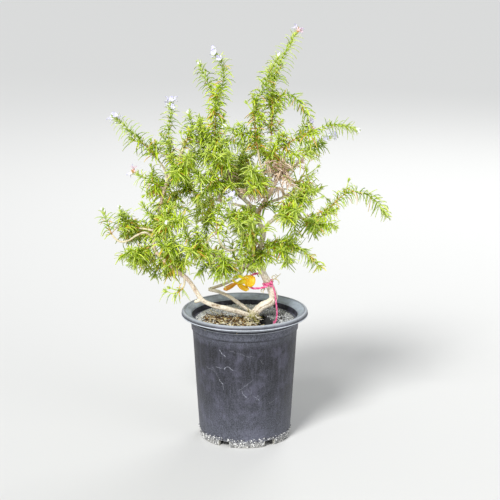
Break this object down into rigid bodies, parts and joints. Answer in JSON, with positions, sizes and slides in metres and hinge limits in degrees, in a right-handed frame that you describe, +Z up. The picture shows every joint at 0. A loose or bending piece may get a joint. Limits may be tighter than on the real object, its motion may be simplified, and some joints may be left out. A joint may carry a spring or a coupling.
{
  "type": "potted rosemary bonsai",
  "caption": "Rosemary grown as an informal bonsai: pale twisting trunk and limbs, needle foliage and small pale flowers, in a black plastic nursery pot.",
  "frame": {"origin": "middle of the part's footprint box, on the plane that the pot stands on", "axes": "+Z up, -Y towards the viewer of the picture, +X to the viewer's right"},
  "size_m": [0.3746, 0.2006, 0.5375],
  "materials": {
    "pot": "scuffed matte with grey dust",
    "soil": "bark mulch and grit, dry",
    "bark": "pale stringy bark",
    "needles": "satin, paler underneath",
    "dead_needles": "dry and dull",
    "petals": "soft, thin",
    "tie": "twisted twine",
    "ribbon": "thin glossy flagging ribbon"
  },
  "bodies": {
    "root": {"pot": "pot", "soil": "soil", "wood": "bark", "tie_wrap": "tie", "tie_tail": "tie", "tie_loop": "tie", "ribbon": "ribbon", "stem_upper_left": "needles", "stem_left_spire": "needles", "stem_left_leader": "needles", "stem_centre_spire": "needles", "stem_centre_left": "needles", "stem_tall": "needles", "stem_tall_left": "needles", "stem_upper_right": "needles", "stem_right_flowering": "needles", "stem_right_twig": "needles", "stem_right_tuft": "needles", "stem_far_right": "needles", "stem_right_low": "needles", "stem_right_front": "needles", "stem_low_right": "needles", "stem_front_curved": "needles", "stem_left_front": "needles", "stem_low_front": "needles", "stem_centre_front_left": "needles", "stem_centre_front_high": "needles", "stem_front_high": "needles", "stem_front_mid": "needles", "stem_front_low": "needles", "stem_hanging": "needles", "stem_left_flowering": "needles", "stem_left_high_front": "needles", "stem_middle_high": "needles", "stem_far_left": "needles", "stem_left_tuft": "needles", "stem_left_low_front": "needles", "stem_left_hanging": "needles", "stem_left_inner": "needles", "stem_small_low": "needles", "stem_rear_top": "needles", "stem_rear_middle": "needles", "stem_rear_low": "needles", "stem_rear_left": "needles", "stem_rear_left_low": "needles", "stem_rear_right": "needles", "stem_left_rear": "needles", "stem_left_rear_low": "needles", "stem_low_rear": "needles", "stem_bent_rear": "needles", "dead_twig_right": "dead_needles", "dead_twig_centre": "dead_needles", "bloom_upper_left": "petals", "bloom_left_spire": "petals", "bloom_centre_spire": "petals", "bloom_tall": "petals", "bloom_arching": "petals", "bloom_right_flowering": "petals", "bloom_front_curved": "petals", "bloom_left_flowering": "petals"}
  },
  "joints": []
}
